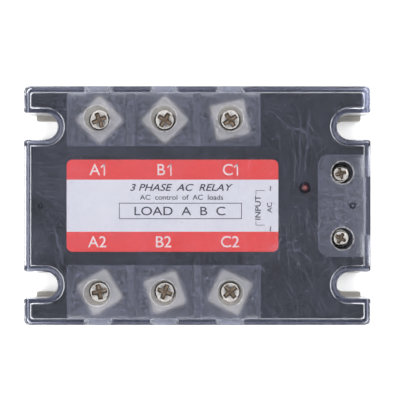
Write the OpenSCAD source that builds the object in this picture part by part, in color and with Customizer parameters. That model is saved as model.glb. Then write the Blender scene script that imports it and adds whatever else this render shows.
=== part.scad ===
// Three-phase solid state relay under a clear cover.
// X runs along the length, Y across it and Z up from the underside of the base plate.

/* [Case] */
// Length over the clear cover
body_length = 105; // [87:0.5:126]
// Width over the clear cover
body_width = 72.4; // [60:0.2:87]
// Height from the underside of the base plate to the top of the cover
body_height = 33; // [27.5:0.5:40]
// Wall thickness of the clear cover's skirt
cover_wall = 1.7; // [1.4:0.1:2.2]
// Wall thickness of the black housing
housing_wall = 1.8; // [1.4:0.1:2.4]
// How far the housing's lower part stays inside the cover all round
housing_inset = 0.35; // [0.2:0.05:0.6]
// Thickness of the cover's top
cover_top = 1.8; // [1.4:0.1:2.4]
// Corner radius of the cover
corner_radius = 1.6; // [0.8:0.1:3]
// Height of the terminal floors above the base plate
floor_height = 14.5; // [12:0.1:16]
// Height of the input recess floor above the base plate
input_floor_height = 16.8; // [14:0.1:18]
// Distance from the left end to the first terminal pocket
left_margin = 13; // [12:0.1:15.6]
// Distance from the last terminal pocket to the right end
right_margin = 33.4; // [31:0.1:38]

/* [Base plate] */
// Thickness of the metal base plate
plate_thickness = 3; // [2.5:0.1:4]
// How far the plate stays inside the cover all round
plate_inset = 0.9; // [0.7:0.1:1.4]
// Width of each open mounting slot in the plate
slot_width = 6; // [5:0.1:7.2]
// Width of the notch in the plastic round each slot
notch_width = 8.1; // [7.4:0.1:9.7]
// How far the housing stands back from the notch below the cover
notch_clearance = 0.7; // [0.3:0.1:1.1]
// Distance from the long side to a slot's centre line
slot_margin = 12.15; // [10.5:0.05:14]
// Distance from the short side to the centre of a slot's round end
slot_depth = 6.15; // [5:0.05:7.4]

/* [Power terminals] */
// Width of the rib between two terminal pockets
pocket_rib = 2; // [1.6:0.1:3]
// How far each pocket reaches in from the long side
pocket_reach = 18.2; // [16:0.1:20]
// Thread diameter of the power screws
power_thread = 4; // [3.5:0.1:4.8]
// Room between a turned clamp plate's corner and the ribs beside it
clamp_clearance = 1.74; // [1.1:0.01:3]
// Thickness of the clamp plates
clamp_thickness = 1.2; // [0.8:0.1:1.6]
// Thickness of the copper terminals
terminal_thickness = 1; // [0.8:0.1:1.4]
// Width of the copper strip between its pad and its foot
strip_width = 5; // [4:0.1:6]

/* [Input terminals] */
// Distance from a mounting slot's centre line to the input screw beside it
input_margin = 14.05; // [13:0.05:15.5]
// Thread diameter of the input screws
input_thread = 3; // [2.5:0.1:3.6]
// Diameter of the screwdriver holes over the input screws
input_hole = 6.6; // [6:0.1:7.9]
// Height of the step that covers the input tabs, above the tabs
input_step = 0.8; // [0.6:0.1:1.4]

/* [Cover openings] */
// Diameter of the screwdriver holes over the power screws
driver_hole = 7.7; // [7.1:0.1:9.3]
// Width of the wire arches in the cover's long sides
arch_width = 9; // [7.5:0.1:10.8]
// Height of cover wall left above each wire arch
arch_drop = 3.8; // [3:0.1:5]
// Height of cover wall left above the input wire opening
outlet_drop = 4.6; // [3.6:0.1:6]

/* [Hidden] */
$fn = 32;
gap = 0.3;              // clearance between the skirt and the housing
fit = 0.05;             // radial clearance of a thread in its nut
eps = 0.01;
half_l = body_length / 2;
half_w = body_width / 2;
head_gap = 0.4;         // space for the label under the cover
deck_z = body_height - cover_top - head_gap;
deck_under = deck_z - housing_wall;
cover_under = body_height - cover_top;
floor_z = plate_thickness + floor_height;
input_floor_z = plate_thickness + input_floor_height;
floor_thickness = 2;

slot_x = half_l - slot_depth;
slot_y = half_w - slot_margin;
notch_r = notch_width / 2;
shell_r = notch_r + cover_wall + gap;   // notch in the upper part of the housing

pitch = (body_length - left_margin - right_margin + pocket_rib) / 3;
pocket_w = pitch - pocket_rib;
pocket_y = half_w - pocket_reach;
phase_x = [for (i = [0:2]) -half_l + left_margin + pocket_w / 2 + i * pitch];
power_y = half_w - 9.7;
input_x = half_l - 8.5;
input_y = slot_y - input_margin;
recess_x = half_l - 15.9;
recess_y = input_y + 5.5;
recess_corner = 3.5;
outlet_y = input_y - 1.2;       // half width of the input wire opening

cavity_y = pocket_y - 1.5;
cavity_x0 = -half_l + 3.9;
cavity_x1 = recess_x - 1.5;
hatch_x = phase_x[2] + pocket_w / 2 + housing_wall;

// Power terminal stack
clamp_corner = 1;
clamp = 2 * ((pocket_w / 2 - clamp_clearance - clamp_corner) / sqrt(2) + clamp_corner);
pad_w = power_thread + 3.4;
tab_z = floor_z + terminal_thickness;
clamp_z = tab_z + clamp_thickness;
power_r = power_thread / 2;
power_head_r = power_r * 1.62;
power_head_h = power_r * 1.2;
power_length = 8;
nut_flat = power_thread * 1.75;
nut_h = 3.2;
nut_z = floor_z - 0.2 - nut_h;
boss_r = nut_flat * 0.5774 + 1.5;
boss_z = clamp_z - power_length - 1.4;
trap_wall = 0.6;                // housing left between a nut trap and the copper beside it
drop_y = power_y - nut_flat / 2 - 0.2 - trap_wall - terminal_thickness;   // inner face of the upper upright
turns = [45, 45, 12, 31, 19, -26];
head_turns = [20, 60, 35, 10, 70, 40];

// Input terminal stack
input_r = input_thread / 2;
input_head_r = input_r * 1.6;
input_head_h = input_r * 1.33;
washer_r = input_r * 1.7;
washer_h = 0.6;
input_tab_t = 0.8;
input_tab_w = input_thread + 1.4;
input_tab_z = input_floor_z + input_tab_t;
step_x = input_x - washer_r - 0.3;   // where the raised step over the tabs ends
washer_z = input_tab_z + washer_h;
input_length = 8;
input_nut_flat = input_thread * 1.83;
input_nut_h = 2.4;
input_nut_z = input_floor_z - 0.2 - input_nut_h;
input_boss_r = input_nut_flat * 0.5774 + 1.2;
input_boss_z = washer_z - input_length - 1.4;

// Circuit board and what stands on it
board_z = plate_thickness + 7;
board_t = 1.6;
board_top = board_z + board_t;
board_y = cavity_y - 4.1;
board_x0 = cavity_x0 + 2.1;
board_x1 = cavity_x1 + 0.1;
rx = pitch / 20;                // parts on the board shrink and grow with the case
ry = board_y / 12.4;
rz = (deck_under - board_top) / 17.4;
peg_x = [board_x0 + 2.9, cavity_x1 - 4];
peg_y = board_y - 2.2;
peg_r = 1.2;
led_x = half_l - 19.8;
led_y = peg_y - 4.7;              // clears the peg beside it
led_r = 1.5;
driver_x = (phase_x[2] + pitch / 2 + led_x) / 2 - 1.6;   // input parts on the board

// Substrates and chips
tile_t = 0.9;
chip = clamp - 1;
tile_w = chip + 6;
chip_t = 0.6;
chip_z = plate_thickness + tile_t;
chip_top = chip_z + chip_t;
chip_gap = 6;                   // between the two chips of a phase
chip_d = board_y + 0.6 - chip_gap / 2;
chip_y = (chip_d + chip_gap) / 2;
pin_y = chip_gap / 2 + 1.1;
pin_r = 0.4;
foot_y = pin_y + 1.4;
bend_y = board_y + 0.8;         // inner face of the terminal's lower upright
run_z = board_z + 1;            // underside of the run between the two uprights

fixing_x = [phase_x[0] + pitch / 2, half_l - 22.5];
fixing_y = half_w - 6.2;
fixing_r = 1.45;
fixing_head_r = 2.8;
fixing_length = 9.5;
fixing_boss_r = 3.2;

black = [0.16, 0.17, 0.20];
clear = [0.80, 0.84, 0.90, 0.35];
steel = [0.78, 0.76, 0.70];
copper = [0.80, 0.50, 0.30];
ceramic = [0.93, 0.92, 0.88];

// ---- shared shapes ----

// Box from one corner to the other
module box(x0, x1, y0, y1, z0, z1) {
  translate([x0, y0, z0]) cube([x1 - x0, y1 - y0, z1 - z0]);
}

module rod(x, y, z0, z1, r) {
  translate([x, y, z0]) cylinder(r = r, h = z1 - z0);
}

// Upright block with rounded corners, centred on the origin
module slab(length, width, r, z0, z1) {
  box(-length / 2, length / 2, -width / 2 + r, width / 2 - r, z0, z1);
  box(-length / 2 + r, length / 2 - r, -width / 2, width / 2, z0, z1);
  for (x = [-1, 1], y = [-1, 1])
    rod(x * (length / 2 - r), y * (width / 2 - r), z0, z1, r);
}

// The four open slots at the short ends
module slots(r, z0, z1) {
  for (x = [-1, 1], y = [-1, 1]) {
    rod(x * slot_x, y * slot_y, z0, z1, r);
    box(min(x * slot_x, x * (half_l + 1)), max(x * slot_x, x * (half_l + 1)),
        y * slot_y - r, y * slot_y + r, z0, z1);
  }
}

// What a rounding of radius r takes off a corner at (x, y); dx and dy point into the body
module corner_cut(x, y, dx, dy, r, z0, z1) {
  difference() {
    box(min(x - dx * eps, x + dx * r), max(x - dx * eps, x + dx * r),
        min(y - dy * eps, y + dy * r), max(y - dy * eps, y + dy * r), z0, z1);
    rod(x + dx * r, y + dy * r, z0 - 1, z1 + 1, r);
  }
}

// The same along an edge that runs in X, at (y, z)
module edge_cut(y, z, dy, dz, r, x0, x1) {
  rotate([90, 0, 90]) corner_cut(y, z, dy, dz, r, x0, x1);
}

// Rounds the mouths of the four slots
module mouth_cuts(edge, r, mouth_r, z0, z1) {
  for (x = [-1, 1], y = [-1, 1], side = [-1, 1])
    corner_cut(x * edge, y * slot_y + side * r, -x, side, mouth_r, z0, z1);
}

module hex(flat, z0, z1) {
  translate([0, 0, z0]) cylinder(r = flat / sqrt(3), h = z1 - z0, $fn = 6);
}

// Pan-head screw hanging from z = 0, the underside of its head
module pan_screw(r, head_r, head_h, length) {
  difference() {
    union() {
      rotate_extrude()
        polygon([[0, 0], [head_r, 0], [head_r, head_h * 0.45], [head_r * 0.95, head_h * 0.68],
                 [head_r * 0.82, head_h * 0.86], [head_r * 0.6, head_h * 0.96], [0, head_h]]);
      translate([0, 0, 0.5 - length]) cylinder(r = r, h = length);
      translate([0, 0, -length]) cylinder(r1 = r - 0.4, r2 = r, h = 0.5);
    }
    for (a = [0, 90])
      rotate(a) box(-head_r * 0.56, head_r * 0.56, -head_r * 0.15, head_r * 0.15,
                    head_h * 0.35, head_h + 1);
    translate([0, 0, head_h * 0.35]) cylinder(r1 = head_r * 0.16, r2 = head_r * 0.3, h = head_h);
  }
}

// Puts its children over power terminal k: 0 to 2 on the +Y side, 3 to 5 on the -Y side
module at_power(k, z = 0) {
  translate([phase_x[k % 3], k < 3 ? power_y : -power_y, z]) children();
}

// Puts its children over input terminal k, 0 or 1
module at_input(k, z = 0) {
  translate([input_x, k == 0 ? input_y : -input_y, z]) children();
}

// ---- case ----

module base_plate() color(steel) {
  plate_l = body_length - 2 * plate_inset;
  plate_w = body_width - 2 * plate_inset;
  difference() {
    slab(plate_l, plate_w, 1, 0, plate_thickness);
    slots(slot_width / 2, -1, plate_thickness + 1);
    mouth_cuts(plate_l / 2, slot_width / 2, 0.55, -1, plate_thickness + 1);
    for (x = fixing_x, y = [-1, 1] * fixing_y) {
      rod(x, y, -1, plate_thickness + 1, fixing_r + 0.3);
      translate([x, y, -eps])
        cylinder(r1 = fixing_head_r + 0.3, r2 = fixing_r + 0.3, h = fixing_head_r - fixing_r + 0.1);
    }
  }
}

// Solid part of the housing before anything is hollowed out
module housing_body() {
  difference() {
    slab(body_length - 2 * housing_inset, body_width - 2 * housing_inset, corner_radius - housing_inset,
         plate_thickness, floor_z);
    slots(notch_r + notch_clearance, plate_thickness - 1, floor_z + 1);
  }
  inset = cover_wall + gap;
  difference() {
    slab(body_length - 2 * inset, body_width - 2 * inset, 1, floor_z - eps, deck_z);
    slots(shell_r, floor_z - 1, deck_z + 1);
  }
}

// Space under the terminal floors, with walls left round the notches
module lower_hollow() {
  x1 = half_l - housing_inset - housing_wall;
  y1 = half_w - housing_inset - housing_wall;
  difference() {
    box(-x1, x1, -y1, y1, plate_thickness - 1, floor_z - floor_thickness);
    slots(shell_r + housing_wall, plate_thickness - 2, floor_z);
    for (x = fixing_x, y = [-1, 1] * fixing_y) rod(x, y, plate_thickness, floor_z, fixing_boss_r);
    for (k = [0:5]) at_power(k) rod(0, 0, boss_z, floor_z, boss_r);
    for (k = [0:1]) at_input(k) rod(0, 0, input_boss_z, floor_z, input_boss_r);
  }
}

module upper_hollow() {
  top = deck_under;
  difference() {
    union() {
      box(cavity_x0, cavity_x1, -cavity_y, cavity_y, floor_z - floor_thickness - 1, top);
      box(hatch_x, cavity_x1 - 0.4, -half_w + 3.8, half_w - 3.8, floor_z - floor_thickness - 1, top);
    }
    for (x = peg_x, y = [-1, 1] * peg_y) rod(x, y, board_top, deck_z, peg_r + 0.8);
    slots(shell_r + housing_wall, 0, body_height);
  }
  // Under the input recess, which has the higher floor
  difference() {
    box(recess_x - 1.6, half_l - cover_wall - gap - housing_wall, -recess_y + 2, recess_y - 2,
        floor_z - floor_thickness - 1, input_floor_z - floor_thickness);
    for (k = [0:1]) at_input(k) rod(0, 0, 0, body_height, input_boss_r);
  }
}

module housing() color(black) {
  difference() {
    union() {
      difference() {
        housing_body();
        lower_hollow();
        upper_hollow();
      }
      for (x = peg_x, y = [-1, 1] * peg_y) rod(x, y, board_z - 1.5, deck_under, peg_r);
    }
    // Terminal pockets, open to the long sides, and the input recess, open to the right
    for (x = phase_x, side = [-1, 1])
      box(x - pocket_w / 2, x + pocket_w / 2, min(side * pocket_y, side * (half_w + 1)),
          max(side * pocket_y, side * (half_w + 1)), floor_z, body_height);
    difference() {
      union() {
        box(recess_x, half_l + 1, -recess_y, recess_y, input_tab_z + input_step, body_height);
        box(step_x, half_l + 1, -recess_y, recess_y, input_floor_z, body_height);
      }
      for (side = [-1, 1])
        corner_cut(recess_x, side * recess_y, 1, -side, recess_corner, input_floor_z, body_height + 1);
    }
    // Screw wells, nut traps and the slits the terminals pass through
    for (k = [0:5]) at_power(k) {
      hex(nut_flat + 0.2, nut_z, floor_z + 1);
      rod(0, 0, boss_z + 1, floor_z, power_r + 0.4);
    }
    for (x = phase_x, side = [0, 1]) mirror([0, side, 0]) {
      box(x - strip_width / 2 - 0.2, x + strip_width / 2 + 0.2,
          drop_y - 0.1, drop_y + terminal_thickness + 0.1, boss_z - 1, floor_z + 1);
      box(x - strip_width / 2 - 0.2, x + strip_width / 2 + 0.2,
          power_y - boss_r - 1, drop_y + terminal_thickness + 0.1, boss_z - 1, floor_z - floor_thickness);
    }
    for (k = [0:1]) at_input(k) {
      hex(input_nut_flat + 0.2, input_nut_z, input_floor_z + 1);
      rod(0, 0, input_boss_z + 1, input_floor_z, input_r + 0.4);
      box(recess_x - input_x - 3, 0, -input_tab_w / 2 - 0.2, input_tab_w / 2 + 0.2,
          input_floor_z, input_tab_z + 0.2);
    }
    for (x = fixing_x, y = [-1, 1] * fixing_y)
      rod(x, y, plate_thickness - 1, fixing_length + 0.6, fixing_r + fit);
    rod(led_x, led_y, deck_under - 1, body_height, led_r + 0.3);
  }
}

module clear_cover() color(clear) {
  inner_l = body_length - 2 * cover_wall;
  inner_w = body_width - 2 * cover_wall;
  difference() {
    slab(body_length, body_width, corner_radius, floor_z, body_height);
    difference() {
      slab(inner_l, inner_w, 0.8, floor_z - 1, cover_under);
      slots(notch_r + cover_wall, floor_z - 2, cover_under + 1);
    }
    slots(notch_r, floor_z - 1, body_height + 1);
    mouth_cuts(half_l, notch_r, 0.7, floor_z - 1, body_height + 1);
    for (k = [0:5]) at_power(k) rod(0, 0, cover_under - 1, body_height + 1, driver_hole / 2);
    for (k = [0:1]) at_input(k) rod(0, 0, cover_under - 1, body_height + 1, input_hole / 2);
    // Wire arches along the long sides
    arch_z = cover_under - arch_drop - arch_width / 2;
    for (x = phase_x, y = [-1, 1] * half_w) {
      box(x - arch_width / 2, x + arch_width / 2, y - cover_wall - 0.5, y + cover_wall + 0.5,
          floor_z - 1, arch_z);
      translate([x, y, arch_z]) rotate([90, 0, 0])
        cylinder(d = arch_width, h = 2 * cover_wall + 1, center = true);
    }
    // One wide opening for the two input wires
    box(half_l - cover_wall - 0.5, half_l + 1, -outlet_y, outlet_y,
        floor_z - 1, cover_under - outlet_drop);
  }
}

module label() color([0.92, 0.36, 0.35]) {
  x0 = -half_l + 12.8;
  x1 = half_l - 27.9;
  translate([(x0 + x1) / 2, 0, 0])
    slab(x1 - x0, 2 * (pocket_y - 4), 1.8, deck_z, deck_z + 0.15);
}

// ---- power side, one set a terminal ----

module substrate(i) color(ceramic) {
  tile_y = chip_y + chip_d / 2 + 1.4;
  translate([phase_x[i], 0, 0]) {
    box(-tile_w / 2, tile_w / 2, -tile_y, tile_y, plate_thickness, chip_z - 0.3);
    for (side = [-1, 1])
      translate([0, side * chip_y, 0])
        box(-chip / 2 - 0.8, chip / 2 + 0.8, -chip_d / 2 - 0.8, chip_d / 2 + 0.8,
            chip_z - 0.3 - eps, chip_z);
  }
}

module thyristor(k) color([0.35, 0.36, 0.40]) {
  side = k < 3 ? 1 : -1;
  translate([phase_x[k % 3], side * chip_y, 0])
    box(-chip / 2, chip / 2, -chip_d / 2, chip_d / 2, chip_z, chip_top);
}

// Copper strip: a pad in the pocket, down through its floor, inwards, down again, and a foot on the chip
module terminal(k) color(copper) {
  t = terminal_thickness;
  half = strip_width / 2;
  mirror([0, k < 3 ? 0 : 1, 0]) translate([phase_x[k % 3], 0, 0]) difference() {
    union() {
      box(-pad_w / 2, pad_w / 2, drop_y + t + 0.3, power_y + pad_w / 2, floor_z, tab_z);
      box(-half, half, drop_y, power_y, floor_z, tab_z);
      box(-half, half, drop_y, drop_y + t, run_z, tab_z);
      box(-half, half, bend_y, drop_y + t, run_z, run_z + t);
      box(-chip / 2, chip / 2, bend_y, bend_y + t, chip_top, run_z + t);
      box(-chip / 2, chip / 2, foot_y, bend_y + eps, chip_top, chip_top + t);
    }
    rod(0, power_y, floor_z - 1, tab_z + 1, power_r + 0.35);
    edge_cut(drop_y, tab_z, 1, -1, t * 1.5, -pad_w, pad_w);
    edge_cut(drop_y + t, run_z, -1, 1, t * 1.5, -pad_w, pad_w);
    edge_cut(bend_y, run_z + t, 1, -1, t, -chip, chip);
    edge_cut(bend_y + t, chip_top, -1, 1, t * 1.5, -chip, chip);
  }
}

module clamp_plate(k) color(steel) {
  at_power(k, tab_z) rotate(turns[k]) difference() {
    union() {
      slab(clamp, clamp, clamp_corner, 0, clamp_thickness - 0.25);
      slab(clamp - 0.5, clamp - 0.5, clamp_corner - 0.2, 0, clamp_thickness);
    }
    rod(0, 0, -1, clamp_thickness + 1, power_r + 0.2);
    // Two shallow grooves underneath that grip the wire
    for (side = [-1, 1])
      box(side * clamp * 0.36 - 0.4, side * clamp * 0.36 + 0.4, -clamp, clamp, -1, 0.3);
  }
}

module power_screw(k) color(steel) {
  at_power(k, clamp_z) rotate(head_turns[k])
    pan_screw(power_r, power_head_r, power_head_h, power_length);
}

module power_nuts() color(steel) {
  for (k = [0:5]) at_power(k) difference() {
    hex(nut_flat, nut_z, nut_z + nut_h);
    rod(0, 0, nut_z - 1, nut_z + nut_h + 1, power_r + fit);
  }
}

// ---- input side ----

module control_tab(k) color(copper) {
  t = input_tab_t;
  inner = cavity_x1 - 1.1 - input_x;
  at_input(k) difference() {
    union() {
      box(inner, washer_r, -input_tab_w / 2, input_tab_w / 2, input_floor_z, input_tab_z);
      box(inner, inner + t, -input_tab_w / 2, input_tab_w / 2, board_top, input_tab_z);
    }
    rotate([90, 0, 0]) corner_cut(inner, input_tab_z, 1, -1, t, -input_tab_w, input_tab_w);
    rod(0, 0, 0, body_height, input_r + 0.3);
  }
}

module control_washer(k) color(steel) {
  at_input(k, input_tab_z) difference() {
    union() {
      cylinder(r = washer_r, h = washer_h * 0.6);
      cylinder(r = washer_r - 0.3, h = washer_h);
    }
    rod(0, 0, -1, 2, input_r + 0.2);
  }
}

module control_screw(k) color(steel) {
  at_input(k, washer_z) rotate(k == 0 ? 15 : 55)
    pan_screw(input_r, input_head_r, input_head_h, input_length);
}

module control_nuts() color(steel) {
  for (k = [0:1]) at_input(k) difference() {
    hex(input_nut_flat, input_nut_z, input_nut_z + input_nut_h);
    rod(0, 0, input_nut_z - 1, input_floor_z, input_r + fit);
  }
}

// ---- circuit board ----

module control_board() color([0.10, 0.36, 0.20]) {
  difference() {
    box(board_x0, board_x1, -board_y, board_y, board_z, board_top);
    for (x = peg_x, y = [-1, 1] * peg_y) rod(x, y, board_z - 1, board_top + 1, peg_r + 0.1);
  }
}

module led() color([0.45, 0.05, 0.06]) {
  tip = deck_z;
  rod(led_x, led_y, tip - 4.6, tip - 3.6, led_r + 0.4);
  rod(led_x, led_y, tip - 3.6, tip - led_r, led_r);
  translate([led_x, led_y, tip - led_r]) sphere(r = led_r);
  for (side = [-1, 1])
    box(led_x - 0.25, led_x + 0.25, led_y + side * 1.1 - 0.25, led_y + side * 1.1 + 0.25,
        board_top, tip - 4.5);
}

// Small outline package with three legs a side
module optocoupler(i) color([0.13, 0.13, 0.14]) {
  w = 6.4 * rx;
  d = 8.6 * ry;
  translate([phase_x[i] - 4.6 * rx, 0, board_top]) {
    box(-w / 2, w / 2, -d / 2, d / 2, 0.6, 4 * rz);
    for (side = [-1, 1], j = [-1:1])
      box(side * (w / 2 + 0.25) - 0.3, side * (w / 2 + 0.25) + 0.3, j * 2.54 * ry - 0.3,
          j * 2.54 * ry + 0.3, 0, 2.4 * rz);
  }
}

// Disc on two wires
module varistor(i) color([0.20, 0.40, 0.62]) {
  r = 4.9 * min(ry, rz);
  z = board_top + r + 2;
  translate([phase_x[i] + 4.5 * rx, 6.2 * ry, z]) {
    rotate([0, 90, 0]) cylinder(r = r, h = 3.6, center = true);
    for (side = [-1, 1])
      translate([side * 0.8, side * 2.5 * ry, board_top - z]) cylinder(r = 0.4, h = r);
  }
}

module snubber_capacitor(i) color([0.75, 0.66, 0.25]) {
  translate([phase_x[i] + 4.5 * rx, -5.8 * ry, board_top])
    box(-3.2 * rx, 3.2 * rx, -5.2 * ry, 5.2 * ry, 0, 12 * rz);
}

// Axial resistor lying along X on its two bent wires
module snubber_resistor(i) color([0.55, 0.62, 0.66]) {
  half = 2.9 * rx;
  z = board_top + 2.2;
  translate([phase_x[i] - 4.6 * rx, 8.6 * ry, z]) {
    rotate([0, 90, 0]) cylinder(r = 1.5, h = 2 * half, center = true);
    for (side = [-1, 1]) {
      rotate([0, 90, 0]) translate([0, 0, side * (half + 0.4)])
        cylinder(r = 0.35, h = 1, center = true);
      box(side * (half + 0.7) - 0.3, side * (half + 0.7) + 0.3, -0.3, 0.3, -2.2, 0.3);
    }
  }
}

module input_rectifier() color([0.13, 0.13, 0.14]) {
  translate([driver_x, -5.6 * ry, board_top]) {
    box(-3.2, 3.2, -4.2 * ry, 4.2 * ry, 0.5, 3.2);
    for (side = [-1, 1], j = [-1, 1])
      box(side * 3.4 - 0.3, side * 3.4 + 0.3, j * 2.6 * ry - 0.4, j * 2.6 * ry + 0.4, 0, 2);
  }
}

module input_capacitor() color([0.16, 0.20, 0.30]) {
  r = 3.2 * min(1, ry);
  rod(driver_x, 4.6 * ry, board_top, board_top + 11 * rz, r);
  rod(driver_x, 4.6 * ry, board_top, board_top + 11.3 * rz, r - 0.5);
}

module gate_pins() color(copper) {
  for (x = phase_x, side = [-1, 1]) rod(x, side * pin_y, chip_top, board_z, pin_r);
}

module fixing_screws() color(steel) {
  for (x = fixing_x, y = [-1, 1] * fixing_y) difference() {
    union() {
      translate([x, y, 0.1])
        cylinder(r1 = fixing_head_r, r2 = fixing_r, h = fixing_head_r - fixing_r);
      rod(x, y, 0.4, fixing_length, fixing_r);
    }
    for (a = [0, 90]) translate([x, y, 0]) rotate(a) box(-1.5, 1.5, -0.4, 0.4, -1, 0.9);
  }
}

// ---- assembly ----

base_plate();
housing();
label();
led();
control_board();
substrate(0);  // substrate_a
substrate(1);  // substrate_b
substrate(2);  // substrate_c
thyristor(0);  // thyristor_a1
thyristor(1);  // thyristor_b1
thyristor(2);  // thyristor_c1
thyristor(3);  // thyristor_a2
thyristor(4);  // thyristor_b2
thyristor(5);  // thyristor_c2
terminal(0);  // terminal_a1
terminal(1);  // terminal_b1
terminal(2);  // terminal_c1
terminal(3);  // terminal_a2
terminal(4);  // terminal_b2
terminal(5);  // terminal_c2
clamp_plate(0);  // clamp_a1
clamp_plate(1);  // clamp_b1
clamp_plate(2);  // clamp_c1
clamp_plate(3);  // clamp_a2
clamp_plate(4);  // clamp_b2
clamp_plate(5);  // clamp_c2
power_screw(0);  // screw_a1
power_screw(1);  // screw_b1
power_screw(2);  // screw_c1
power_screw(3);  // screw_a2
power_screw(4);  // screw_b2
power_screw(5);  // screw_c2
control_tab(0);  // control_tab_1
control_tab(1);  // control_tab_2
control_washer(0);  // control_washer_1
control_washer(1);  // control_washer_2
control_screw(0);  // control_screw_1
control_screw(1);  // control_screw_2
optocoupler(0);  // optocoupler_a
optocoupler(1);  // optocoupler_b
optocoupler(2);  // optocoupler_c
snubber_capacitor(0);  // snubber_capacitor_a
snubber_capacitor(1);  // snubber_capacitor_b
snubber_capacitor(2);  // snubber_capacitor_c
snubber_resistor(0);  // snubber_resistor_a
snubber_resistor(1);  // snubber_resistor_b
snubber_resistor(2);  // snubber_resistor_c
varistor(0);  // varistor_a
varistor(1);  // varistor_b
varistor(2);  // varistor_c
input_rectifier();
input_capacitor();
gate_pins();
power_nuts();
control_nuts();
fixing_screws();
clear_cover();
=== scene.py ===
"""Looks of a three-phase solid state relay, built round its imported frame. Lengths are in millimetres."""
import math

import bmesh
import bpy
import numpy as np
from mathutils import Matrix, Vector


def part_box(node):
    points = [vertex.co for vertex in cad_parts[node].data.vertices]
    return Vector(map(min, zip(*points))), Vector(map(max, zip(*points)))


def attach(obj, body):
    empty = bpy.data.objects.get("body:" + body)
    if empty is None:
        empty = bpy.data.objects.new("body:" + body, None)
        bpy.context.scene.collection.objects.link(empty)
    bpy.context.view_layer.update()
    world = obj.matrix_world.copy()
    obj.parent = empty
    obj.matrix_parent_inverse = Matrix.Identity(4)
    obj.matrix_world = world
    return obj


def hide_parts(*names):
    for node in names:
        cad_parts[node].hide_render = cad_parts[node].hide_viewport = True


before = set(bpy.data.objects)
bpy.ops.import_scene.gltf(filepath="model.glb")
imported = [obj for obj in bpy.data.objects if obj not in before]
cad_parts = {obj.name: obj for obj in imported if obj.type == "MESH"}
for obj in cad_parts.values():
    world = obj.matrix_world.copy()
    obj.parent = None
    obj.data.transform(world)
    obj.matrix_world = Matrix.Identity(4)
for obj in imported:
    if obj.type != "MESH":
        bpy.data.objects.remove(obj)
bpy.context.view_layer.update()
MM = 0.001


# ---------------------------------------------------------------- where things are, from the frame

def span(node):
    """Lowest and highest corner of a node in millimetres."""
    lo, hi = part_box(node)
    return np.array(lo) / MM, np.array(hi) / MM


def middle(node):
    lo, hi = span(node)
    return (lo + hi) / 2


POWER = ["a1", "b1", "c1", "a2", "b2", "c2"]
PHASES = ["a", "b", "c"]
cover_lo, cover_hi = span("clear_cover")
_, housing_hi = span("housing")
_, label_hi = span("label")
COVER_UNDER = cover_hi[2] - 1.8        # underside of the cover's top
COVER_CORNER = 1.6                     # radius of its outline's corners
NOTCH_R = 4.05                         # radius of its notches
SLOT = np.array([cover_hi[0] - 6.15, cover_hi[1] - 12.15])     # where a notch's round end is centred
SCREW_AXES = [middle("screw_" + k)[:2] for k in POWER] + [middle("control_screw_" + k)[:2] for k in "12"]
POWER_HOLE, INPUT_HOLE = 3.85, 3.3     # radii of the holes in the cover over the screws


# ---------------------------------------------------------------- surfaces worked out with numpy

def put(name, points, faces, finish, body="case", smooth=True, replaces=(), slot=None, marks=None):
    """A mesh object from points in millimetres and index faces, riding on a body. marks gives each point a
    number that its material can read."""
    mesh = bpy.data.meshes.new(name)
    mesh.from_pydata((np.asarray(points, float) * MM).tolist(), [], [list(map(int, f)) for f in faces])
    for mark, values in (marks or {}).items():
        mesh.attributes.new(mark, "FLOAT", "POINT").data.foreach_set("value", np.asarray(values, np.float32))
    mesh.validate()
    mesh.polygons.foreach_set("use_smooth", [smooth] * len(mesh.polygons))
    piece = bpy.data.objects.new(name, mesh)
    bpy.context.scene.collection.objects.link(piece)
    mesh.materials.append(finish)
    return settle(piece, body, replaces)


def settle(piece, body, replaces=()):
    """Rides the piece on its body and hides the nodes it stands for."""
    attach(piece, body)
    if replaces:
        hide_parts(*replaces)
    return piece


def grid_faces(rows, cols, wrap_rows=False):
    """Quads of a rows by cols grid, closed round its columns and, if asked, its rows."""
    rr, cc = np.meshgrid(np.arange(rows if wrap_rows else rows - 1), np.arange(cols), indexing="ij")
    r2, c2 = (rr + 1) % rows, (cc + 1) % cols
    quads = np.stack([rr * cols + cc, rr * cols + c2, r2 * cols + c2, r2 * cols + cc], -1).reshape(-1, 4)
    return quads.tolist()


def turned(profile, sides=48, at=(0, 0, 0), pressed=None):
    """A profile of (radius, height) carried round the z axis: each ring is radius times (cos t, sin t).
    pressed(x, y) then lowers its points. Ends closed with a fan."""
    profile = np.asarray(profile, float)
    t = np.linspace(0, 2 * np.pi, sides, endpoint=False)
    x, y = profile[:, :1] * np.cos(t), profile[:, :1] * np.sin(t)
    z = np.repeat(profile[:, 1:], sides, 1)
    if pressed:
        z = z - pressed(x, y)
    points = np.stack([x, y, z], -1).reshape(-1, 3)
    points = np.vstack([points, points[:sides].mean(0), points[-sides:].mean(0)]) + np.array(at)
    return points, grid_faces(len(profile), sides) + end_fans(len(profile) * sides, sides)


def end_fans(count, sides):
    """Triangles that close the first and last ring of count points on the two points that follow them."""
    i = np.arange(sides)
    j = (i + 1) % sides
    low = np.stack([np.full(sides, count), j, i], -1)
    high = np.stack([np.full(sides, count + 1), count - sides + i, count - sides + j], -1)
    return np.vstack([low, high]).tolist()


def joined(*parts):
    """Several (points, faces) as one."""
    points, faces, base = [], [], 0
    for p, f in parts:
        points.append(np.asarray(p, float))
        faces += [[i + base for i in face] for face in f]
        base += len(p)
    return np.vstack(points), faces


def spun(part, degrees, at=(0, 0, 0)):
    """A part turned about z by an angle and then moved."""
    a = math.radians(degrees)
    m = np.array([[math.cos(a), -math.sin(a), 0], [math.sin(a), math.cos(a), 0], [0, 0, 1]])
    return part[0] @ m.T + np.array(at), part[1]


SHARP = 32                             # degrees from which an edge counts as sharp


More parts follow.
